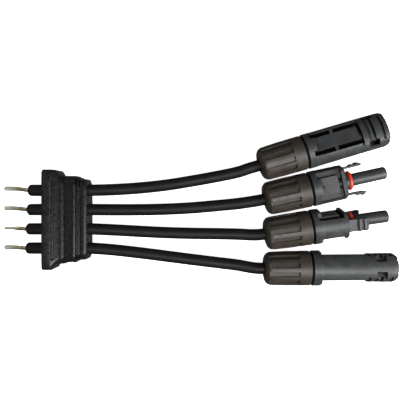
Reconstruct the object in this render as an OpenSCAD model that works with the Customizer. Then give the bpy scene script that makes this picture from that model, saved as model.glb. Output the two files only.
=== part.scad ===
// Four-lead solar cable connector.
// A moulded gland block carries four insulated leads. Each lead ends in a locking single-pole
// plug: plugs 1 and 4 are long shells with a contact pin inside, plugs 2 and 3 are probes with a
// contact socket inside and two sprung latch arms.
// +X runs from the gland to the plugs, +Z is up. The origin is the centre of the gland's flat
// front face, and every lead's axis lies level with it.

/* [Gland] */
// Width of the gland's flange, across the four leads
flange_w = 53; // [51:0.5:60]
// Height of the gland's flange
flange_h = 19; // [18.8:0.1:22]
// Thickness of the flange plate
flange_t = 4.9; // [4:0.1:5.5]
// Length of the whole gland block
gland_len = 23.2; // [23:0.1:26]
// Radius of the flange's corners
corner_r = 2.5; // [1.5:0.5:4]

/* [Leads] */
// Outside diameter of a lead's jacket
lead_d = 6.3; // [5.8:0.1:6.4]
// Distance between neighbouring leads at the gland
lead_pitch = 10.4; // [9.8:0.1:10.8]
// Length of jacket standing out of the gland's front face
stub_len = 10.1; // [6:0.1:14]
// Length of bare tinned conductor beyond the jacket
tip_len = 12.9; // [12:0.1:16]
// Diameter of the tinned conductor
tip_d = 2.2; // [1.8:0.1:2.4]

/* [Plugs] */
// Largest diameter of the cap nut
nut_d = 18.7; // [18:0.1:18.8]
// Length of the cap nut
nut_len = 24.4; // [24.2:0.1:26]
// Diameter of a housing's flange
flange_d = 19; // [18.8:0.1:19.2]
// Length of a shell housing ahead of its cap nut
shell_len = 44.2; // [44:0.1:46]
// Length of a probe housing's body ahead of its cap nut
probe_body_len = 18.2; // [18:0.1:19]
// Length from a probe's cap nut to the end of its contact tube
probe_len = 41.2; // [41:0.1:43]
// Diameter of a probe's contact tube
tube_d = 6.8; // [6.6:0.1:7]
// Diameter of the contact pin
pin_d = 4; // [3.9:0.05:4.1]
// Number of grip grooves round the cap nut
grip_grooves = 12; // [8:1:14]

/* [Hidden] */
$fn = 64;
fit = 0.02;      // radial gap of a moulded-in piece
turn_gap = 0.08; // radial gap of the cap nut on its thread
lead_r = lead_d / 2;
tip_r = tip_d / 2;
nut_r = nut_d / 2;
house_r = flange_d / 2;
wing_r = 9.4;    // outer radius of a housing's side wings
body_r = 5;      // corners of the gland block behind its flange
thread_r = 6.9;
thread_len = 10;
thread_pitch = 1.5;
pocket_r = 5;    // pocket for the cable seal
bore_r = 3.1;    // bore for the contact's body
core_r = 5;      // tube round the contact inside a housing
crimp_r = 2.6;
neck_r = 2.4;    // neck of the contact pin, where it passes the housing's front stop
tube_r = tube_d / 2;
pin_r = pin_d / 2;
ring_t = 1;      // thickness of the black ring ahead of the cap nut
nut_front = -ring_t - 0.3;
nut_back = nut_front - nut_len;
arm_w = 6.6;     // width of a latch arm
arm_root = 6.5;  // place of its root along the plug
root_r = 0.7;    // radius of the rounded root, which the arm turns on
arm_tip = 28.5;  // place of its tip
arm_in = 6.4;    // inner face at the root, from the plug's axis
arm_out = 7.6;   // outer face at the root
barb_out = 8.9;  // outer edge of its barb
barb_back = 25.9;
pin_stop = shell_len - probe_len + probe_body_len - 2.2; // front stop of the contact pin's body
recess = pin_stop + 1.9;                                 // floor of the room for a mating tube
neck_end = recess + 0.2;

lead_y = [1.5 * lead_pitch, 0.5 * lead_pitch, -0.5 * lead_pitch, -1.5 * lead_pitch];
// Each plug's frame: x and y where the cap nut meets the housing, yaw and roll in degrees
plug = [
    [139.6, 36.35, 16.4, -15],
    [142.6, 16.3, 12.5, 3],
    [143.2, -4.25, 8.4, 104],
    [143, -26.35, 0.5, 80]
];
nut_turned = [0, 20, 12, 24]; // how far each cap nut is turned on its thread
// Free stretch of each lead, between the gland and the straight stretch behind its cap nut
route = [
    [[36, 16, -0.4], [50, 16.9, -0.8], [64, 18.4, -1],
        [78, 20.6, -1], [92, 23.1, -0.8], [103, 25.4, -0.4]],
    [[36, 5.1, -0.4], [50, 5.1, -0.8], [64, 5.4, -1],
        [78, 6.1, -1], [92, 7.3, -0.8], [103, 8.4, -0.4]],
    [[36, -5.8, -0.4], [50, -6.6, -0.8], [64, -7.3, -1],
        [78, -7.7, -1], [92, -7.9, -0.8], [103, -8.1, -0.4]],
    [[36, -16.6, -0.4], [50, -18.2, -0.8], [64, -20, -1],
        [78, -21.8, -1], [92, -23.5, -0.8], [103, -24.8, -0.4]]
];
entry = [0, 0.2, 0.4, 0.4]; // sideways offset of each lead where it enters its cap nut

// ---- helpers: every plug is drawn along +X, wide across Y, and then placed ----
module bar(x0, x1, r) translate([x0, 0, 0]) rotate([0, 90, 0]) cylinder(h = x1 - x0, r = r);
module taper(x0, x1, r0, r1)
    translate([x0, 0, 0]) rotate([0, 90, 0]) cylinder(h = x1 - x0, r1 = r0, r2 = r1);
module sleeve(x0, x1, ro, ri) difference() { bar(x0, x1, ro); bar(x0 - 1, x1 + 1, ri); }
module prism(x0, x1) translate([x0, 0, 0]) rotate([90, 0, 90]) linear_extrude(x1 - x0) children();
module spun() rotate([0, 90, 0]) rotate_extrude() children();
module box(lo, hi) translate(lo) cube(hi - lo);
// A box and its mirror images across Y and Z
module four(lo, hi) for (sy = [0, 1], sz = [0, 1]) mirror([0, sy, 0]) mirror([0, 0, sz]) box(lo, hi);
module placed(n) {
    p = plug[n - 1];
    translate([p[0], p[1], 0]) rotate([0, 0, p[2]]) rotate([p[3], 0, 0]) children();
}
module round_rect(hw, hh, r) {
    square([2 * (hw - r), 2 * hh], center = true);
    square([2 * hw, 2 * (hh - r)], center = true);
    for (sx = [-1, 1], sy = [-1, 1]) translate([sx * (hw - r), sy * (hh - r)]) circle(r);
}
function arc(cx, cy, r, a0, a1, n) =
    [for (i = [0:n]) let (a = a0 + (a1 - a0) * i / n) [cx + r * cos(a), cy + r * sin(a)]];

// ---- gland ----
// Sloping shoulders between the flange and the plug body
module shoulders(hw, hh) difference() {
    prism(7.1, 9.8) round_rect(hw, hh - 2, body_r - 2);
    for (s = [0, 1]) mirror([0, s, 0])
        translate([7.2, hw, 0]) rotate([0, 0, -45]) box([0, 0, -20], [9, 9, 20]);
}
module gland_body() {
    hw = flange_w / 2;
    hh = flange_h / 2;
    color([0.12, 0.12, 0.115]) difference() {
        union() {
            prism(0, flange_t) round_rect(hw, hh, corner_r);
            prism(flange_t - 0.1, 7.2) round_rect(hw, hh - 1, corner_r - 1);
            prism(6.1, 11.1) round_rect(hw - 3, hh - 0.4, body_r);
            shoulders(hw, hh);
            prism(11, 12) round_rect(hw - 3.5, hh - 1, body_r);
            prism(11.9, 16.1) round_rect(hw - 3.9, hh - 0.6, body_r);
            prism(16, 17.6) round_rect(hw - 3.6, hh - 0.3, body_r);
            prism(17.5, gland_len - 0.4) round_rect(hw - 5.2, hh - 1.7, body_r);
            prism(18.4, 19.2) round_rect(hw - 4.7, hh - 1.2, body_r);
            prism(20.1, 22.6) round_rect(hw - 4.9, hh - 0.8, body_r);
            prism(gland_len - 0.5, gland_len) round_rect(hw - 6.2, hh - 1.4, body_r);
        }
        for (y = lead_y) translate([0, y, 0]) bar(-1, gland_len + 1, lead_r + fit);
    }
}
module jacket_end(n) color([0.1, 0.1, 0.1]) translate([0, lead_y[n - 1], 0]) difference() {
    union() {
        bar(1 - stub_len, gland_len, lead_r);
        taper(-stub_len, 1.01 - stub_len, lead_r - 0.9, lead_r);
    }
    bar(-stub_len - 1, -4, tip_r + fit);
}
// Tinned strands, round at the jacket and flattened to a blade near the tip
module conductor_tip(n) {
    bend = [-4, 2, 1, 3][n - 1];
    turn = [0, 15, 75, 0][n - 1];
    flat = stub_len + tip_len - 6;
    color([0.72, 0.71, 0.66]) translate([0, lead_y[n - 1], 0]) {
        bar(-flat - 0.5, -4.1, tip_r);
        translate([-flat, 0, 0]) rotate([turn, bend, bend]) intersection() {
            box([-6, -2, -0.65], [0.1, 2, 0.65]);
            union() {
                box([-4.8, -1.3, -1], [0, 1.3, 1]);
                translate([-4.7, 0, -1]) cylinder(h = 2, r = 1.3);
            }
        }
    }
}

// ---- leads ----
function sub_point(n, s, off) = let (p = plug[n - 1])
    [p[0] + s * cos(p[2]) - off * sin(p[2]), p[1] + s * sin(p[2]) + off * cos(p[2]), 0];
function lead_path(n) = concat(
    [[gland_len, lead_y[n - 1], 0]], route[n - 1],
    [sub_point(n, -31.5, entry[n - 1]), sub_point(n, -25, 0), sub_point(n, -12, 0), sub_point(n, -1, 0)]);
function unit(v) = v / norm(v);
function heading(path, i) = unit(path[min(i + 1, len(path) - 1)] - path[max(i - 1, 0)]);
function ring(path, i, r, sides, t) = let (a = unit(cross([0, 0, 1], t)), b = cross(t, a))
    [for (k = [0:sides - 1]) path[i] + r * cos(360 * k / sides) * a + r * sin(360 * k / sides) * b];
module swept(path, r, sides = 12) {
    last = len(path) - 1;
    points = [for (i = [0:last]) each ring(path, i, r, sides, i == 0 ? [1, 0, 0] : heading(path, i))];
    faces = concat(
        [[for (k = [0:sides - 1]) k]],
        [[for (k = [sides - 1:-1:0]) last * sides + k]],
        [for (i = [0:last - 1], k = [0:sides - 1]) let (j = (k + 1) % sides)
            [i * sides + j, i * sides + k, (i + 1) * sides + k, (i + 1) * sides + j]]);
    polyhedron(points, faces, convexity = 4);
}
module cable(n) color([0.1, 0.1, 0.1]) swept(lead_path(n), lead_r);
module crimped_strands(n) placed(n) color([0.75, 0.5, 0.3]) bar(-1, 4.5, 1.55);

// ---- pieces that every plug has ----
module thread() difference() {
    bar(-thread_len, 0.1, thread_r);
    for (x = [-thread_len + 0.9:thread_pitch:-2]) sleeve(x, x + 0.6, thread_r + 1, thread_r - 0.45);
}
// Grip section: flat-bottomed grooves, spaced evenly, with lands at the full radius between them
module grip(sunk, full) {
    half = 8; // half a groove's width, in degrees
    polygon([
        for (k = [0:grip_grooves - 1],
            c = [[-half - 0.5, full], [-half, sunk], [half, sunk], [half + 0.5, full]])
            let (a = 360 / grip_grooves * k + c[0]) c[1] * [cos(a), sin(a)]
    ]);
}
module cap_nut(n) {
    round_r = 3.9;
    grip_r = nut_r - 0.35;
    placed(n) color([0.31, 0.28, 0.26]) difference() {
        spun() polygon(concat(
            [[4.3, nut_back], [grip_r - round_r, nut_back]],
            arc(grip_r - round_r, nut_back + round_r, round_r, -90, 0, 6),
            [[nut_r - 0.05, nut_back + 12], [nut_r - 0.05, -7.4], [nut_r, -7.1], [nut_r, nut_front - 0.5],
             [nut_r - 0.4, nut_front], [thread_r + turn_gap, nut_front], [thread_r + turn_gap, -11.5],
             [6, -11.5], [6, -22.5], [4.3, -22.5]]));
        prism(nut_back + 2.2, -7.5) difference() {
            circle(nut_r + 2);
            rotate(nut_turned[n - 1]) grip(nut_r - 0.85, nut_r + 0.5);
        }
    }
}
module clamp_cage(n) placed(n) color([0.2, 0.2, 0.2]) difference() {
    sleeve(-22.2, -10.4, 5.7, lead_r + 0.5);
    for (k = [0:5]) rotate([60 * k, 0, 0]) box([-19, -0.4, 3], [-10, 0.4, 7]);
}
module ring_seal(n) placed(n) color([0.05, 0.05, 0.05]) sleeve(-ring_t, 0, nut_r - 0.25, thread_r + fit);
module cable_seal(n) placed(n) color([0.15, 0.15, 0.15]) difference() {
    union() {
        bar(-9.6, -1.1, pocket_r - 0.25);
        for (x = [-8.8, -6.4, -4]) bar(x, x + 1.2, pocket_r - fit);
    }
    bar(-11, 0, lead_r + fit);
}
module contact_clip(n) placed(n) color([0.75, 0.7, 0.5]) difference() {
    sleeve(8.2, 12.6, bore_r - 0.05, crimp_r + 0.05);
    for (k = [0:2]) rotate([120 * k, 0, 0]) box([9.2, -0.5, 2], [13, 0.5, 4]);
}
// Crimp barrel and shoulder at the back of either contact
module crimp() {
    difference() {
        bar(-0.9, 6.1, crimp_r);
        bar(-2, 4.6, 1.6);
    }
    bar(6, 8, bore_r - 0.1);
}
// Holes in every housing behind the contact's front stop
module contact_bores(stop) {
    bar(-thread_len - 1, -1, pocket_r);
    bar(-1.5, stop, bore_r);
}
// Housing outline across the plug: a round body with two flat sides
module flat_round(r, half_h) intersection() {
    circle(r);
    square([2 * r + 1, 2 * half_h], center = true);
}
// Oval collar: round ends with slightly domed flats
module oval(r, half_h) {
    dome_r = 14;
    intersection() {
        circle(r);
        translate([0, half_h - dome_r]) circle(dome_r);
        translate([0, dome_r - half_h]) circle(dome_r);
    }
}
// Wings, core tube and the webs between them
module ribs(wing_in, half_h, web) {
    difference() { flat_round(wing_r, half_h); square([2 * wing_in, 30], center = true); }
    circle(core_r);
    square([2 * wing_in + 1, 2 * web], center = true);
}

// ---- plugs 1 and 4: shell with a contact pin ----
module shell_housing(n) {
    half_h = 6.8;
    panel = 3.7;
    wing_in = 6.2;
    placed(n) color([0.3, 0.31, 0.32]) difference() {
        union() {
            thread();
            bar(0, 4.2, house_r);
            taper(4.2, 5, house_r, house_r - 0.8);
            prism(4, 28.5) ribs(wing_in, half_h, 1.6);
            prism(28.4, 41.7) ribs(wing_in, half_h - 1.2, 1.6);
            prism(4, 28.3) square([2 * panel, 2 * half_h], center = true);
            prism(14.2, 15.9) flat_round(wing_r, half_h);
            prism(29.9, 32.4) oval(9.3, 7.7);
            prism(32.3, 34) oval(9.2, 7.1);
            prism(33.9, 35.2) oval(9.3, 7.7);
            prism(35.1, 36.7) oval(9.2, 6.2);
            prism(36.6, 40.4) oval(9.3, 7.8);
            prism(40.3, 41.7) oval(9.2, 6.5);
            prism(41.6, shell_len - 1.4) oval(9.3, 7.8);
            prism(shell_len - 1.5, shell_len - 0.6) oval(9, 7.5);
            prism(shell_len - 0.7, shell_len) oval(8.5, 7);
        }
        contact_bores(pin_stop);
        bar(pin_stop - 1, recess + 1, neck_r + 0.1);
        bar(recess, 41, tube_r + 0.2);
        bar(shell_len - 4.5, shell_len + 1, 5.4);
        // Slots start inside the flange, beside the panel
        four([2.8, panel, 1.6], [14.2, wing_in, 12]);
        // Latch channels, open at the mouth, and the windows beside them
        for (s = [0, 1]) mirror([0, s, 0]) {
            box([32.6, 6, -3.6], [shell_len + 1, 7.9, 3.6]);
            for (t = [0, 1]) mirror([0, 0, t]) box([32.6, 6, 2.7], [38, 12, 12]);
        }
    }
}
module contact_pin(n) {
    tip = shell_len - 7.2;
    placed(n) color([0.78, 0.76, 0.7]) {
        crimp();
        bar(7.9, pin_stop - 0.1, crimp_r);
        bar(pin_stop - 0.2, neck_end, neck_r);
        spun() polygon(concat([[0, recess], [pin_r, recess]],
            arc(pin_r - 1.2, tip - 1.2, 1.2, 0, 90, 4), [[0, tip]]));
    }
}

// ---- plugs 2 and 3: probe with a contact socket and latch arms ----
module probe_housing(n) {
    half_h = 6.2;
    plate_h = 6.8;
    panel = 4.7;
    wing_in = 7.8;
    room = arm_w / 2 + 0.3; // half the width of a latch arm's room
    slot_floor = room + 0.5;
    front = probe_body_len;
    placed(n) color([0.3, 0.31, 0.32]) difference() {
        union() {
            thread();
            bar(0, 4, house_r);
            taper(4, 4.8, house_r, house_r - 0.8);
            prism(3.9, front - 2.1) ribs(wing_in, half_h, slot_floor);
            prism(3.9, front - 4.2) square([2 * panel, 2 * half_h], center = true);
            prism(front - 2.2, front - 0.6) flat_round(wing_r - 0.1, plate_h);
            prism(front - 0.7, front) flat_round(wing_r - 0.8, plate_h - 0.6);
            bar(front - 1, front + 4.2, 4.3);
            bar(front - 1, front + 1.9, 4.8);
            bar(front, probe_len - 0.6, tube_r);
            taper(probe_len - 0.61, probe_len, tube_r, tube_r - 0.5);
        }
        contact_bores(14);
        bar(13, probe_len + 1, crimp_r + 0.05);
        four([2.8, panel, slot_floor], [5, wing_in, 12]);
        translate([5.7, 0, half_h - 0.15]) cylinder(h = 1, r = 0.8);
        for (s = [0, 1]) mirror([0, s, 0]) {
            // Room for the latch arm, and the round seat of its root
            box([arm_root, core_r + 0.2, -room], [front + 1, 8, room]);
            translate([arm_root, (arm_in + arm_out) / 2, -room]) cylinder(h = 2 * room, r = root_r + 0.05);
        }
    }
}
module latch_arm(n, side) {
    mid = (arm_in + arm_out) / 2;
    placed(n) mirror([0, side, 0]) color([0.3, 0.31, 0.32]) {
        translate([arm_root, mid, -arm_w / 2]) cylinder(h = arm_w, r = root_r);
        translate([0, 0, -arm_w / 2]) linear_extrude(arm_w) polygon([
            [arm_root, arm_in], [barb_back, arm_in + 0.5], [arm_tip - 0.5, arm_in + 0.6],
            [arm_tip, arm_in + 0.9], [arm_tip, arm_in + 1.2],
            // Barb, and behind it the notch and the swelling of the arm
            [barb_back + 0.9, barb_out], [barb_back, barb_out], [barb_back - 0.1, arm_out + 0.4],
            [barb_back - 1.6, arm_out + 0.4], [barb_back - 1.7, arm_out + 0.9],
            [barb_back - 2.4, arm_out + 0.9], [barb_back - 3.6, arm_out + 0.1], [arm_root, arm_out]]);
    }
}
module interface_ring(n) {
    x = probe_body_len + 2.85;
    placed(n) color([0.85, 0.2, 0.08]) spun() translate([4.4, x]) intersection() {
        circle(0.9, $fn = 32);
        translate([-0.08, -2]) square([3, 4]);
    }
}
module contact_socket(n) {
    placed(n) color([0.78, 0.76, 0.7]) {
        crimp();
        difference() {
            bar(7.9, probe_len - 1.3, crimp_r);
            bar(22.5, probe_len, pin_r + 0.1);
            bar(28, 36, 2.36);
        }
    }
}
module contact_band(n) placed(n) color([0.8, 0.68, 0.4]) difference() {
    sleeve(28.1, 35.9, 2.34, pin_r + 0.1);
    for (k = [0:7]) rotate([45 * k, 0, 0]) box([29.2, -0.25, 1], [34.8, 0.25, 3]);
}

gland_body();
jacket_end(1);  // jacket_end_1
jacket_end(2);  // jacket_end_2
jacket_end(3);  // jacket_end_3
jacket_end(4);  // jacket_end_4
conductor_tip(1);  // conductor_tip_1
conductor_tip(2);  // conductor_tip_2
conductor_tip(3);  // conductor_tip_3
conductor_tip(4);  // conductor_tip_4
cable(1);  // cable_1
cable(2);  // cable_2
cable(3);  // cable_3
cable(4);  // cable_4
crimped_strands(1);  // crimped_strands_1
crimped_strands(2);  // crimped_strands_2
crimped_strands(3);  // crimped_strands_3
crimped_strands(4);  // crimped_strands_4
cap_nut(1);  // cap_nut_1
cap_nut(2);  // cap_nut_2
cap_nut(3);  // cap_nut_3
cap_nut(4);  // cap_nut_4
clamp_cage(1);  // clamp_cage_1
clamp_cage(2);  // clamp_cage_2
clamp_cage(3);  // clamp_cage_3
clamp_cage(4);  // clamp_cage_4
ring_seal(1);  // ring_seal_1
ring_seal(2);  // ring_seal_2
ring_seal(3);  // ring_seal_3
ring_seal(4);  // ring_seal_4
cable_seal(1);  // cable_seal_1
cable_seal(2);  // cable_seal_2
cable_seal(3);  // cable_seal_3
cable_seal(4);  // cable_seal_4
contact_clip(1);  // contact_clip_1
contact_clip(2);  // contact_clip_2
contact_clip(3);  // contact_clip_3
contact_clip(4);  // contact_clip_4
shell_housing(1);  // shell_housing_1
shell_housing(4);  // shell_housing_4
contact_pin(1);  // contact_pin_1
contact_pin(4);  // contact_pin_4
probe_housing(2);  // probe_housing_2
probe_housing(3);  // probe_housing_3
latch_arm(2, 0);  // latch_arm_2a
latch_arm(2, 1);  // latch_arm_2b
latch_arm(3, 0);  // latch_arm_3a
latch_arm(3, 1);  // latch_arm_3b
interface_ring(2);  // interface_ring_2
interface_ring(3);  // interface_ring_3
contact_socket(2);  // contact_socket_2
contact_socket(3);  // contact_socket_3
contact_band(2);  // contact_band_2
contact_band(3);  // contact_band_3
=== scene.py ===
"""Four-lead solar cable connector: the looks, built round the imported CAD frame. Lengths in mm unless said."""

import math

import bmesh
import bpy
from mathutils import Matrix, Vector


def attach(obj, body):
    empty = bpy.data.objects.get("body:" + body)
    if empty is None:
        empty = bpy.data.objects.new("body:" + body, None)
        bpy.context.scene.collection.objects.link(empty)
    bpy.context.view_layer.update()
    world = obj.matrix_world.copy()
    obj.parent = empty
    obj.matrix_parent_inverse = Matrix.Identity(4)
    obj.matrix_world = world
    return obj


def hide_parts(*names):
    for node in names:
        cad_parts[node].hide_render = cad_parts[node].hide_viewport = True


MM = 0.001

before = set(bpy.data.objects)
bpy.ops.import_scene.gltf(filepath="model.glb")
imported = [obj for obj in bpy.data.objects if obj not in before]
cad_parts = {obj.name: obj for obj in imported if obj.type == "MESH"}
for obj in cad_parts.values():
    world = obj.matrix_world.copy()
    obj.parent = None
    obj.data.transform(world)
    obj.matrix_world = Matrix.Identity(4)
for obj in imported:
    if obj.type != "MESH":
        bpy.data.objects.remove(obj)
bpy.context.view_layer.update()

# ---- camera: straight above the table ----
CAMERA_AT = (0.0829, 0.0104, 0.268)
HALF_VIEW = 0.1081  # half of the width seen at the leads' level
SENSOR = 36
camera_data = bpy.data.cameras.new("camera")
camera_data.sensor_width = SENSOR
camera_data.lens = SENSOR / 2 * CAMERA_AT[2] / HALF_VIEW
camera_data.clip_start = MM
camera = bpy.data.objects.new("camera", camera_data)
camera.location = CAMERA_AT
bpy.context.collection.objects.link(camera)
bpy.context.scene.camera = camera

# ---- the plugs' frames and the leads' route, as in the CAD source ----
GLAND_LEN = 23.2
LEAD_D = 6.3
LEAD_Y = [15.6, 5.2, -5.2, -15.6]
FLOOR_Z = -9.5
# Each plug: where its axis starts, its yaw and its roll about its own axis, in degrees
PLUG = [(139.6, 36.35, 16.4, -15), (142.6, 16.3, 12.5, 3), (143.2, -4.25, 8.4, 104), (143.0, -26.35, 0.5, 80)]
NUT_TURNED = [0, 20, 12, 24]  # how far round each nut stands, in degrees
# Points each lead passes between the gland and its plug
ROUTE = [
    [(36, 16, -0.4), (50, 16.9, -0.8), (64, 18.4, -1), (78, 20.6, -1), (92, 23.1, -0.8), (103, 25.4, -0.4)],
    [(36, 5.1, -0.4), (50, 5.1, -0.8), (64, 5.4, -1), (78, 6.1, -1), (92, 7.3, -0.8), (103, 8.4, -0.4)],
    [(36, -5.8, -0.4), (50, -6.6, -0.8), (64, -7.3, -1), (78, -7.7, -1), (92, -7.9, -0.8), (103, -8.1, -0.4)],
    [(36, -16.6, -0.4), (50, -18.2, -0.8), (64, -20, -1), (78, -21.8, -1), (92, -23.5, -0.8),
     (103, -24.8, -0.4)],
]
ENTRY_AT, INSIDE_AT = -31.5, (-25, -12, -1)  # places along a plug: behind its nut, and inside the plug
ENTRY = [0, 0.2, 0.4, 0.4]  # how far aside of the plug's axis each lead still is before the nut


def plug_matrix(n):
    """From a plug's own frame, in mm along +X, to the row frame in metres."""
    x, y, yaw, roll = PLUG[n - 1]
    turn = Matrix.Rotation(math.radians(yaw), 4, "Z") @ Matrix.Rotation(math.radians(roll), 4, "X")
    return Matrix.Translation((x * MM, y * MM, 0)) @ turn


def plug_point(n, s, off):
    """A point of plug n's axis, s along it and off aside of it."""
    x, y, yaw, _ = PLUG[n - 1]
    c, d = math.cos(math.radians(yaw)), math.sin(math.radians(yaw))
    return (x + s * c - off * d, y + s * d + off * c, 0)


def lead_path(n):
    ends = [plug_point(n, ENTRY_AT, ENTRY[n - 1])] + [plug_point(n, s, 0) for s in INSIDE_AT]
    return [Vector(p) for p in [(GLAND_LEN, LEAD_Y[n - 1], 0)] + ROUTE[n - 1] + ends]


def smooth_path(points, per_span):
    """Catmull-Rom points through the given ones."""
    ends = [2 * points[0] - points[1]] + points + [2 * points[-1] - points[-2]]
    out = []
    for i in range(1, len(ends) - 2):
        a, b, c, d = ends[i - 1:i + 3]
        for k in range(per_span):
            t = k / per_span
            out.append(0.5 * (2 * b + (c - a) * t + (2 * a - 5 * b + 4 * c - d) * t * t
                              + (3 * b - a - 3 * c + d) * t ** 3))
    return out + [points[-1]]


# ---- materials ----
ROUGH_VARY = 0.08
PAINTED_SHADE_SHARE = 0.12  # a colour's share that the painted shade leaves deepest in a hollow


class Nodes:
    """A small helper that adds shader nodes to one material."""

    def __init__(self, name):
        self.mat = bpy.data.materials.new(name)
        self.mat.use_nodes = True
        self.tree = self.mat.node_tree
        self.shader = self.tree.nodes["Principled BSDF"]

    def add(self, kind, links=(), **values):
        node = self.tree.nodes.new(kind)
        for key, value in values.items():
            if hasattr(node, key):
                setattr(node, key, value)
            else:
                node.inputs[key.replace("_", " ")].default_value = value
        for key, source in dict(links).items():
            self.tree.links.new(source, node.inputs[key])
        return node

    def set(self, **values):
        for key, value in values.items():
            self.shader.inputs[key.replace("_", " ")].default_value = value

    def noise(self, coords, scale, detail=3.0):
        return self.add("ShaderNodeTexNoise", {"Vector": coords}, Scale=scale, Detail=detail).outputs["Fac"]

    def remap(self, source, low, high, from_low=0.3, from_high=0.7):
        node = self.add("ShaderNodeMapRange", {"Value": source})
        for key, value in zip(("From Min", "From Max", "To Min", "To Max"), (from_low, from_high, low, high)):
            node.inputs[key].default_value = value
        return node.outputs["Result"]

    def mix(self, fac, a, b):
        node = self.tree.nodes.new("ShaderNodeMix")
        node.data_type = "RGBA"
        self.tree.links.new(fac, node.inputs[0])
        for socket, colour in ((node.inputs[6], a), (node.inputs[7], b)):
            if isinstance(colour, tuple):
                socket.default_value = (*colour, 1)
            else:
                self.tree.links.new(colour, socket)
        return node.outputs[2]


def finish_material(name, colour, rough, grain=0.02, grain_scale=2500, blotch=0.25, blotch_scale=160,
                    edge=0.12, wear_and_highlight_tint=1.6, metal=0.0, specular=0.5, streak=None, painted_shade_reach=3.0,
                    shade=(0.3, 0.85)):
    """Moulded or metal finish: fine grain, slight blotches, uneven roughness, lighter edges that are rubbed
    wear and partly a painted highlight, and painted shade in the hollows.
    """
    m = Nodes(name)
    coords = m.add("ShaderNodeTexCoord").outputs["Object"]
    if streak:
        coords_fine = m.add("ShaderNodeMapping", {"Vector": coords}, Scale=streak).outputs["Vector"]
    else:
        coords_fine = coords
    fine = m.noise(coords_fine, grain_scale, 4.0)
    broad = m.noise(coords, blotch_scale, 3.0)
    speck = m.noise(coords_fine, grain_scale * 0.4, 2.0)
    dark = tuple(c * (1 - blotch) for c in colour)
    light = tuple(min(1, c * (1 + blotch)) for c in colour)
    base = m.mix(m.remap(broad, 0, 1), dark, light)
    base = m.mix(m.remap(speck, 0, 0.35, 0.45, 0.75), base, tuple(min(1, c * 1.5) for c in colour))
    flat = m.add("ShaderNodeNewGeometry")
    bevel = m.add("ShaderNodeBevel", samples=4, Radius=edge * MM)
    # Lighter sharp edges: partly rubbed wear, partly a painted highlight
    if wear_and_highlight_tint != 1:
        facing = m.add("ShaderNodeVectorMath", {0: bevel.outputs["Normal"], 1: flat.outputs["Normal"]},
                       operation="DOT_PRODUCT").outputs["Value"]
        edge_wear_and_highlight = m.remap(facing, 1, 0, 0.9, 0.999)
        patchy_wear_and_highlight = m.add("ShaderNodeMath", {0: edge_wear_and_highlight, 1: m.remap(broad, 0.2, 0.8)},
                       operation="MULTIPLY").outputs[0]
        base = m.mix(patchy_wear_and_highlight, base, tuple(min(1, c * wear_and_highlight_tint) for c in colour))
    bump = m.add("ShaderNodeBump", {"Height": fine, "Normal": bevel.outputs["Normal"]},
                 Strength=0.6, Distance=grain * MM)
    # Painted shade: darker where the surface lies deep between its own walls
    painted_shade_ao = m.add("ShaderNodeAmbientOcclusion", samples=8, only_local=True, Distance=painted_shade_reach * MM)
    base = m.mix(m.remap(painted_shade_ao.outputs["AO"], 0, 1, *shade), tuple(c * PAINTED_SHADE_SHARE for c in colour), base)
    links = m.tree.links
    links.new(base, m.shader.inputs["Base Color"])
    links.new(m.remap(speck, rough - ROUGH_VARY, rough + ROUGH_VARY), m.shader.inputs["Roughness"])
    links.new(bump.outputs["Normal"], m.shader.inputs["Normal"])
    m.set(Metallic=metal, Specular_IOR_Level=specular)
    return m.mat


PALE_FROM, PALE_BY = -15, -19  # where along X the strands turn pale


def strand_material():
    """Tinned strands: warm and brownish near the jacket, pale where they are flattened at the tip."""
    mat = finish_material("tinned_strands", (0.34, 0.3, 0.19), 0.36, grain=0.02, grain_scale=1800, blotch=0.4,
                          blotch_scale=500, metal=0.85, edge=0.05, wear_and_highlight_tint=1, painted_shade_reach=0.4)
    nodes, links = mat.node_tree.nodes, mat.node_tree.links
    coords, split = nodes.new("ShaderNodeTexCoord"), nodes.new("ShaderNodeSeparateXYZ")
    along, mix = nodes.new("ShaderNodeMapRange"), nodes.new("ShaderNodeMix")
    links.new(coords.outputs["Object"], split.inputs[0])
    links.new(split.outputs["X"], along.inputs["Value"])
    along.inputs["From Min"].default_value = PALE_FROM * MM
    along.inputs["From Max"].default_value = PALE_BY * MM
    mix.data_type = "RGBA"
    links.new(along.outputs["Result"], mix.inputs[0])
    base = mat.node_tree.nodes["Principled BSDF"].inputs["Base Color"]
    links.new(base.links[0].from_socket, mix.inputs[6])
    mix.inputs[7].default_value = (0.8, 0.78, 0.62, 1)
    links.new(mix.outputs[2], base)
    return mat


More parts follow.
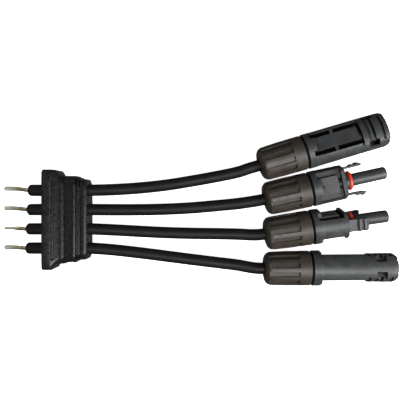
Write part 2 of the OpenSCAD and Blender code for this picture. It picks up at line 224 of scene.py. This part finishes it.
MATERIALS = {
    # The gland's strong edge tint is a painted highlight along its sharp edges
    "gland": finish_material("gland_rubber", (0.0055, 0.0056, 0.0046), 0.3, grain=0.012, grain_scale=1400,
                             edge=0.15, wear_and_highlight_tint=5.0, specular=0.5, painted_shade_reach=2.0),
    "jacket": finish_material("lead_jacket", (0.006, 0.006, 0.0056), 0.5, grain=0.02, grain_scale=900,
                              streak=(0.25, 1, 1), wear_and_highlight_tint=1, specular=0.2),
    "tin": finish_material("tinned_copper", (0.5, 0.46, 0.36), 0.34, grain=0.02, grain_scale=1800,
                           blotch=0.35, blotch_scale=420, metal=0.9, edge=0.05, wear_and_highlight_tint=1),
    "strand": strand_material(),
    "copper": finish_material("bare_copper", (0.6, 0.3, 0.17), 0.35, metal=0.9, wear_and_highlight_tint=1),
    "seal": finish_material("black_seal", (0.004, 0.004, 0.004), 0.6, wear_and_highlight_tint=1, specular=0.1),
    "spring": finish_material("spring_metal", (0.65, 0.5, 0.28), 0.28, metal=1.0, edge=0.05, wear_and_highlight_tint=1),
    "nut": finish_material("nut_plastic", (0.028, 0.0222, 0.0165), 0.46, grain=0.03, grain_scale=1500,
                           edge=0.2, wear_and_highlight_tint=2.2),
    "cage": finish_material("cage_plastic", (0.02, 0.02, 0.02), 0.5),
    "housing": finish_material("housing_plastic", (0.0285, 0.03, 0.031), 0.38, grain=0.025, grain_scale=1800,
                               edge=0.22, wear_and_highlight_tint=2.0, painted_shade_reach=3.5, shade=(0.5, 0.95)),
    "ring": finish_material("red_silicone", (0.62, 0.035, 0.012), 0.36, grain=0.01, wear_and_highlight_tint=1),
}


# ---- mesh helpers ----
def piece(name, verts, faces, material, body="harness", matrix=None, smooth_deg=35):
    """A mesh given in mm, kept in the row frame so that its box is tight."""
    mesh = bpy.data.meshes.new(name)
    mesh.from_pydata([Vector(v) * MM for v in verts], [], faces)
    if matrix is not None:
        mesh.transform(matrix)
    mesh.validate()
    bm = bmesh.new()
    bm.from_mesh(mesh)
    bmesh.ops.recalc_face_normals(bm, faces=bm.faces)
    bm.to_mesh(mesh)
    bm.free()
    for p in mesh.polygons:
        p.use_smooth = True
    mesh.set_sharp_from_angle(angle=math.radians(smooth_deg))
    mesh.materials.append(MATERIALS[material])
    ob = bpy.data.objects.new(name, mesh)
    bpy.context.collection.objects.link(ob)
    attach(ob, body)
    return ob


def loft(rings, closed=False):
    """Faces between equal rings of points, capped at both ends, or joined end to end when closed."""
    count = len(rings[0])
    verts = [p for ring in rings for p in ring]
    faces = []
    spans = len(rings) if closed else len(rings) - 1
    for i in range(spans):
        j = (i + 1) % len(rings)
        for k in range(count):
            after = (k + 1) % count
            faces.append((i * count + k, i * count + after, j * count + after, j * count + k))
    if not closed:
        faces.append(tuple(range(count))[::-1])
        faces.append(tuple((len(rings) - 1) * count + k for k in range(count)))
    return verts, faces


LONGEST_CUT = 0.45  # share of each span beside a corner, under a half so that two corners never meet
NO_CUT = 1e-6


def soften(points, cut, steps=3, closed=False):
    """Rounds the corners of a line of points, in any number of dimensions; cut is one length or one each."""
    pts = [Vector(p) for p in points]
    cuts = cut if isinstance(cut, (list, tuple)) else [cut] * len(pts)
    out = []
    last = len(pts) - 1
    for i, p in enumerate(pts):
        if not closed and i in (0, last):
            out.append(p)
            continue
        a, b = pts[i - 1], pts[(i + 1) % len(pts)]
        da, db = (a - p), (b - p)
        ca = min(cuts[i], LONGEST_CUT * da.length)
        cb = min(cuts[i], LONGEST_CUT * db.length)
        if ca < NO_CUT or cb < NO_CUT:
            out.append(p)
            continue
        start, end = p + da.normalized() * ca, p + db.normalized() * cb
        for k in range(steps + 1):
            t = k / steps
            out.append(start * (1 - t) ** 2 + p * (2 * t * (1 - t)) + end * t * t)
    return out


def revolve(profile, sides, closed=True):
    """Turns (along, radius) points about the X axis."""
    rings = []
    for s, r in profile:
        rings.append([(s, r * math.cos(math.tau * k / sides), r * math.sin(math.tau * k / sides))
                      for k in range(sides)])
    return loft(rings, closed)


# ---- the leads' free stretches ----
PER_SPAN = 3
for n in range(1, 5):
    path = smooth_path(lead_path(n), PER_SPAN)
    curve = bpy.data.curves.new(f"lead_{n}", "CURVE")
    curve.dimensions = "3D"
    spline = curve.splines.new("BEZIER")
    spline.bezier_points.add(len(path) - 1)
    for point, p in zip(spline.bezier_points, path):
        point.co = p * MM
        point.handle_left_type = point.handle_right_type = "AUTO"
    spline.resolution_u = 4
    curve.bevel_depth = LEAD_D / 2 * MM
    curve.bevel_resolution = 10
    curve.use_fill_caps = True
    curve.materials.append(MATERIALS["jacket"])
    lead = bpy.data.objects.new(f"lead_{n}", curve)
    bpy.context.collection.objects.link(lead)
    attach(lead, "harness")
    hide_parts(f"cable_{n}")


# ---- gland ----
SUNK_Y = 21  # the groove behind the flange ends short of its sides
SUNK_MARGIN, SUNK_SLOPE = 0.3, 0.5  # from a corner to the sunk middle, and the width of its sloping end
CORNER_STEPS = 8


def rounded_section(x, y0, y1, half_h, radius, sunk):
    """A ring round a rectangle with rounded corners, in the plane at x; its middle can lie sunk."""
    def corner(cy, cz, start):
        angles = [math.radians(start + 90 * k / CORNER_STEPS) for k in range(CORNER_STEPS + 1)]
        return [(x, cy + radius * math.cos(a), cz + radius * math.sin(a)) for a in angles]

    def middle(side):
        low = half_h - sunk
        reach = min(SUNK_Y, y1 - radius - SUNK_MARGIN)
        return [(x, side * reach, side * half_h), (x, side * (reach - SUNK_SLOPE), side * low),
                (x, side * (SUNK_SLOPE - reach), side * low), (x, -side * reach, side * half_h)]

    return (corner(y1 - radius, half_h - radius, 0) + middle(1)
            + corner(y0 + radius, half_h - radius, 90) + corner(y0 + radius, radius - half_h, 180)
            + middle(-1) + corner(y1 - radius, radius - half_h, 270))


# Each section: place along X, the two sides, the half height, the corner's radius, how deep its middle is
# sunk, and how far the section's own edge is rounded
GLAND = [
    (0, -26.2, 26.2, 9.2, 2.2, 0, 0), (0.02, -26.25, 26.25, 9.25, 2.2, 0, 0.1),
    (0.35, -26.5, 26.5, 9.5, 2.4, 0, 0.3), (4.85, -26.5, 26.5, 9.5, 2.4, 0, 0.25),
    (4.9, -25.8, 26.4, 9.4, 2.4, 2.0, 0.1), (6.1, -24.7, 26.4, 9.3, 2.6, 2.0, 0.1),
    (6.15, -24.6, 26.4, 9.3, 2.7, 0, 0.25), (7.2, -23.8, 26.2, 9.2, 3.2, 0, 0.5),
    (8.9, -23.5, 23.7, 9.1, 4.6, 0, 0.5), (11.05, -23.5, 23.4, 9.15, 4.6, 0, 0.25),
    (11.1, -23.2, 23.2, 8.2, 4.4, 0, 0.1), (11.95, -23.2, 23.2, 8.2, 4.4, 0, 0.1),
    (12.0, -22.9, 23.2, 8.9, 4.6, 0, 0.3), (16.0, -22.6, 23.2, 8.9, 4.6, 0, 0.2),
    (16.05, -22.9, 23.2, 9.25, 4.8, 0, 0.3), (17.55, -22.7, 23.2, 9.25, 4.8, 0, 0.6),
    (17.6, -21.4, 22.0, 7.4, 4.2, 0, 0.1), (18.35, -21.4, 22.0, 7.4, 4.2, 0, 0.1),
    (18.4, -21.8, 22.4, 8.35, 4.4, 0, 0.25), (19.2, -21.8, 22.4, 8.35, 4.4, 0, 0.25),
    (19.25, -21.2, 21.3, 7.4, 4.2, 0, 0.1), (20.05, -21.2, 21.3, 7.4, 4.2, 0, 0.1),
    (20.1, -21.5, 21.6, 8.65, 4.5, 0, 0.3), (22.75, -21.3, 21.5, 8.75, 4.5, 0, 0.6),
    (22.8, -20.6, 20.6, 8.0, 4.2, 0, 0.1), (23.15, -20.3, 20.3, 7.9, 4.2, 0, 0.2),
    (23.2, -19.9, 19.9, 7.5, 4.0, 0, 0),
]
sections = soften([s[:6] for s in GLAND], [s[6] for s in GLAND], 3)
gland = piece("gland_block", *loft([rounded_section(*s) for s in sections]), "gland")
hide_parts("gland_body")

# ---- jacket ends and tinned conductors on the gland's front face ----
STUB = [9.8, 10.3, 10.8, 11.0]  # how far each jacket stands out of the gland
STUB_BORE, STUB_ROOT = 1.0, 1.5  # its bore's radius, and how deep it is held in the gland
for n in range(1, 5):
    at = Matrix.Translation((0, LEAD_Y[n - 1] * MM, 0))
    end = -STUB[n - 1]
    profile = soften([(end + 0.9, STUB_BORE), (end + 0.15, 1.15), (end, 1.9), (end + 1.0, 3.1),
                      (STUB_ROOT, LEAD_D / 2), (STUB_ROOT, STUB_BORE)], [0, 0.3, 0.5, 0.7, 0, 0], 4, True)
    stub = piece(f"jacket_stub_{n}", *revolve(profile, 48), "jacket", matrix=at)
    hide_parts(f"jacket_end_{n}")

LIFT, LIFT_OVER = [0.95, 0.75, 0.4, 0.5], 9  # how far each tip is bent aside, and over what length
BLADE_TURN = [0, 15, 75, 0]  # how far round each flattened tip is turned, in degrees
TIP_START, TIP_END, STRIP_R = -4.0, -23.0, 1.02
TIP_ROUND = 1.1  # length of the rounded end
FLAT_FROM, FLAT_OVER = 15, 4.5  # where the strands begin to flatten, and over what length
WIDER, THINNER, SMOOTHER = 0.15, 0.45, 0.8  # what flattening does to width, thickness and lobes
END_SCALE = 0.015  # the last ring stays this share of full size, so that its faces hold
STRANDS, LOBE, TWIST = 11, 0.13, 0.3  # lobes, their height, and their twist in radians per mm
TIP_RINGS, POINTS_PER_LOBE = 72, 6
for n in range(1, 5):
    rings = []
    around = STRANDS * POINTS_PER_LOBE
    turn = math.radians(BLADE_TURN[n - 1])
    for i in range(TIP_RINGS + 1):
        s = TIP_START + (TIP_END - TIP_START) * i / TIP_RINGS
        # Round and stranded near the jacket, flattened and tinned smooth towards the tip
        flat = min(1, max(0, (-s - FLAT_FROM) / FLAT_OVER))
        flat = flat * flat * (3 - 2 * flat)
        close = min(1, max(0, (TIP_END + TIP_ROUND - s) / TIP_ROUND))
        shrink = math.sqrt(max(0.0, 1 - close * close)) * (1 - END_SCALE) + END_SCALE
        lobe = LOBE * (1 - flat * SMOOTHER)
        lift = LIFT[n - 1] * math.sin(math.pi / 2 * min(1, max(0, -s - STUB[n - 1]) / LIFT_OVER))
        ring = []
        for k in range(around):
            a = math.tau * k / around
            r = STRIP_R + lobe * math.cos(STRANDS * (a + s * TWIST)) - lobe * 0.5
            y = r * math.cos(a) * (1 + WIDER * flat) * shrink
            z = r * math.sin(a) * (1 - THINNER * flat) * shrink
            ring.append((s, y * math.cos(turn) - z * math.sin(turn) + lift,
                         y * math.sin(turn) + z * math.cos(turn)))
        rings.append(ring)
    tip = piece(f"tinned_strands_{n}", *loft(rings), "strand",
                matrix=Matrix.Translation((0, LEAD_Y[n - 1] * MM, 0)), smooth_deg=60)
    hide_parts(f"conductor_tip_{n}")

# ---- cap nuts ----
NUT_R, NUT_BACK, NUT_FRONT, THREAD_BORE = 9.35, -25.7, -1.3, 6.98
LEAD_HOLE, CAVITY_R, CAVITY_BACK, THREAD_BACK = 4.3, 6, -22.5, -11.5
REAR_ROUND, REAR_STEPS, REAR_LESS = 3.9, 10, 0.35  # the rear edge's rounding, its facets, how much slimmer
GRIP_R = NUT_R - 0.05  # the gripped stretch is a little slimmer than the collar
GRIPS, GRIP_HALF, GRIP_DEEP = 12, 8.0, 0.85  # grooves, half a groove's width in degrees, its depth
GRIP_START, GRIP_END = NUT_BACK + 2.2, -7.5
END_RAMP, START_RAMP = 0.3, 0.4  # length of a groove's slopes at its two ends
WALL_WIDTH, WALL_HIGH = 0.8, 1.1  # a groove's wall: its width in degrees, and a height past the nut's surface
LONGEST_ROW = 0.55
outline = [Vector((NUT_BACK, LEAD_HOLE))]
for k in range(REAR_STEPS + 1):
    a = math.radians(90 / REAR_STEPS * k)
    outline.append(Vector((NUT_BACK + REAR_ROUND * (1 - math.cos(a)),
                           NUT_R - REAR_LESS - REAR_ROUND * (1 - math.sin(a)))))
outline += soften([(NUT_BACK + 12, GRIP_R), (GRIP_END - END_RAMP, GRIP_R), (GRIP_END, GRIP_R),
                   (GRIP_END + END_RAMP, NUT_R), (NUT_FRONT, NUT_R), (NUT_FRONT, THREAD_BORE)],
                  [0, 0, 0, 0, 0.35, 0.3], 6)
inner = [(THREAD_BACK, THREAD_BORE), (THREAD_BACK, CAVITY_R), (CAVITY_BACK, CAVITY_R),
         (CAVITY_BACK, LEAD_HOLE)]


def refine(points, longest):
    """Splits long spans, so that the grooves have rows of points to follow."""
    out = [points[0]]
    for a, b in zip(points, points[1:]):
        parts = max(1, math.ceil((b - a).length / longest))
        out += [a + (b - a) * k / parts for k in range(1, parts + 1)]
    return out


rows = refine(outline, LONGEST_ROW)
# Angles from a groove's centre, crowded about its wall, and the same on both its sides
around_groove = [0, 4, 7, 7.7, 8, 8.25, 8.5, 8.8, 9.3, 10.5, 12.7, 15]
one_groove = [-a for a in around_groove[:0:-1][1:]] + around_groove


def nut_columns(n):
    return [k * 360 / GRIPS + NUT_TURNED[n - 1] + a for k in range(GRIPS) for a in one_groove]


def grip_radius(from_centre, s):
    """Radius allowed by the grooves, at an angle from the nearest groove's centre."""
    away = abs(from_centre)
    side = math.cos(math.radians(GRIP_HALF))
    bottom = (NUT_R - GRIP_DEEP) * side / math.cos(math.radians(min(away, GRIP_HALF)))
    wall = min(1, max(0, (away - GRIP_HALF) / WALL_WIDTH))
    ramp = max(min(1, max(0, (s - GRIP_END + END_RAMP) / END_RAMP)),
               min(1, max(0, (GRIP_START + START_RAMP - s) / START_RAMP)))
    return bottom + WALL_HIGH * math.sin(math.pi / 2 * max(wall, ramp))


def nut_mesh(n):
    rings = []
    columns = nut_columns(n)
    for s, r in rows:
        ring = []
        for i, c in enumerate(columns):
            angle, reach = math.radians(c), min(r, grip_radius(one_groove[i % len(one_groove)], s))
            ring.append((s, reach * math.cos(angle), reach * math.sin(angle)))
        rings.append(ring)
    for s, r in inner:
        rings.append([(s, r * math.cos(math.radians(c)), r * math.sin(math.radians(c))) for c in columns])
    return loft(rings, closed=True)


for n in range(1, 5):
    nut = piece(f"lock_nut_{n}", *nut_mesh(n), "nut", body=f"nut_{n}", matrix=plug_matrix(n), smooth_deg=32)
    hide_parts(f"cap_nut_{n}")
    profile = soften([(-1, 6.95), (-1, 8.6), (-0.5, 8.7), (0, 8.6), (0, 6.95)], 0.2, 3, True)
    ring = piece(f"gap_ring_{n}", *revolve(profile, 72), "seal", matrix=plug_matrix(n))
    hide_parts(f"ring_seal_{n}")

# ---- probes: O-rings ----
RING_S, RING_R, RING_HALF_L, RING_HALF_H, RING_POINTS = 21.05, 4.42, 0.88, 0.86, 20
for n in (2, 3):
    angles = [math.tau * k / RING_POINTS for k in range(RING_POINTS)]
    profile = [(RING_S + RING_HALF_L * math.cos(a), RING_R + RING_HALF_H * math.sin(a)) for a in angles]
    ring = piece(f"o_ring_{n}", *revolve(profile, 72), "ring", matrix=plug_matrix(n))
    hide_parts(f"interface_ring_{n}")

# ---- probes: round mould mark standing in the panel's shallow recess ----
MARK_S, PANEL_H, MARK_POINTS = 5.7, 6.2, 40
LEAST_R = 0.01  # the mark's centre is a tiny ring and not a point
for n in (2, 3):
    profile = soften([(0, PANEL_H - 0.16), (0.5, PANEL_H - 0.16), (0.46, PANEL_H + 0.04),
                      (0.25, PANEL_H + 0.06), (0.2, PANEL_H - 0.02), (0, PANEL_H - 0.02)],
                     [0, 0, 0.06, 0.05, 0.05, 0], 3)
    angles = [math.tau * k / MARK_POINTS for k in range(MARK_POINTS)]
    rings = [[(MARK_S + r * math.cos(a), r * math.sin(a), w) for a in angles]
             for r, w in ((max(p[0], LEAST_R), p[1]) for p in profile)]
    mark = piece(f"panel_mark_{n}", *loft(rings), "seal", matrix=plug_matrix(n))

# ---- carried-over CAD nodes ----
CARRIED = {
    "shell_housing": "housing", "probe_housing": "housing", "contact_pin": "tin", "contact_socket": "tin",
    "latch_arm": "housing", "contact_band": "spring", "contact_clip": "spring", "crimped_strands": "copper",
    "clamp_cage": "cage", "cable_seal": "seal",
}
for name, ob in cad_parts.items():
    for start, material in CARRIED.items():
        if name.startswith(start):
            ob.data.materials.clear()
            ob.data.materials.append(MATERIALS[material])

# ---- floor, sky and lights ----
bm = bmesh.new()
bmesh.ops.create_grid(bm, x_segments=8, y_segments=8, size=1.2)
floor_mesh = bpy.data.meshes.new("floor")
bm.to_mesh(floor_mesh)
bm.free()
floor = bpy.data.objects.new("floor", floor_mesh)
floor.location = (0.08, 0, FLOOR_Z * MM)
bpy.context.collection.objects.link(floor)
floor.visible_diffuse = floor.visible_glossy = False
table = Nodes("table")
coords = table.add("ShaderNodeTexCoord").outputs["Object"]
table.tree.links.new(table.remap(table.noise(coords, 30), 0.6, 0.75), table.shader.inputs["Roughness"])
table.set(Base_Color=(0.9, 0.9, 0.9, 1), Emission_Color=(1, 1, 1, 1), Emission_Strength=1.0,
          Specular_IOR_Level=0.2)
floor_mesh.materials.append(table.mat)

world = bpy.data.worlds.new("studio")
world.use_nodes = True
sky = world.node_tree.nodes["Background"].inputs
sky["Color"].default_value = (1, 1, 1, 1)
sky["Strength"].default_value = 0.12
bpy.context.scene.world = world
bpy.context.scene.view_settings.view_transform = "Standard"


def soft_light(name, at, aim, size, power):
    data = bpy.data.lights.new(name, "AREA")
    data.shape = "RECTANGLE"
    data.size, data.size_y = size
    data.energy = power
    ob = bpy.data.objects.new(name, data)
    ob.location = at
    ob.rotation_euler = (Vector(aim) - Vector(at)).to_track_quat("-Z", "Y").to_euler()
    bpy.context.collection.objects.link(ob)


soft_light("over", (0.15, -0.22, 0.62), (0.09, 0, 0), (0.3, 0.3), 3.3)
soft_light("side", (0.46, -0.12, 0.20), (0.12, 0, 0), (0.2, 0.3), 2.9)
soft_light("back", (-0.30, 0.25, 0.18), (0.08, 0, 0), (0.3, 0.2), 0.2)
